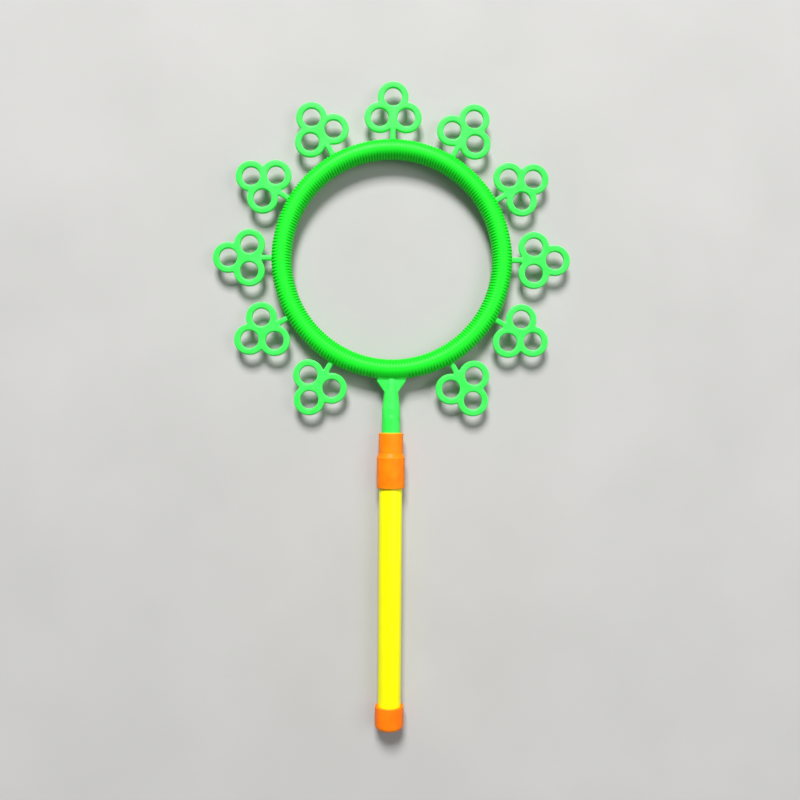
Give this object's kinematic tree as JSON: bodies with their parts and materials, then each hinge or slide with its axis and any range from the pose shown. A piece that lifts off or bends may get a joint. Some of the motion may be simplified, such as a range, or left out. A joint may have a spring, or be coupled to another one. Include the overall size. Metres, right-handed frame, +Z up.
{
  "type": "bubble wand",
  "caption": "Bubble wand: a ribbed round hoop ringed by small trefoil lobes, on a plug-in tube handle with a stepped collar and an end cap.",
  "frame": {"origin": "on the surface that the wand lies on, under the middle of its outline", "axes": "+Y from the end cap to the hoop, +X across the wand, +Z up from the surface"},
  "size_m": [0.2218, 0.4011, 0.0177],
  "materials": {
    "hoop_green": "glossy, ribbed",
    "lobe_green": "satin, moulded",
    "trim_orange": "satin, moulded",
    "tube_yellow": "satin, extruded"
  },
  "bodies": {
    "handle": {"handle_tube": "tube_yellow"},
    "collar": {"coupler": "trim_orange"},
    "head": {"hoop": "hoop_green", "trefoil_01": "lobe_green", "trefoil_02": "lobe_green", "trefoil_03": "lobe_green", "trefoil_04": "lobe_green", "trefoil_05": "lobe_green", "trefoil_07": "lobe_green", "trefoil_08": "lobe_green", "trefoil_09": "lobe_green", "trefoil_10": "lobe_green", "trefoil_11": "lobe_green", "trefoil_12": "lobe_green", "neck": "lobe_green"},
    "cap": {"end_cap": "trim_orange"}
  },
  "joints": [
    {"name": "collar_turn", "type": "hinge", "parent": "handle", "child": "collar", "pos_m": [0, -0.03455, 0.00885], "axis": [0, 1, 0], "continuous": true},
    {"name": "head_pull", "type": "slide", "parent": "collar", "child": "head", "axis": [0, 1, 0], "range_m": [0, 0.016]},
    {"name": "cap_pull", "type": "slide", "parent": "handle", "child": "cap", "axis": [0, -1, 0], "range_m": [0, 0.014]}
  ]
}
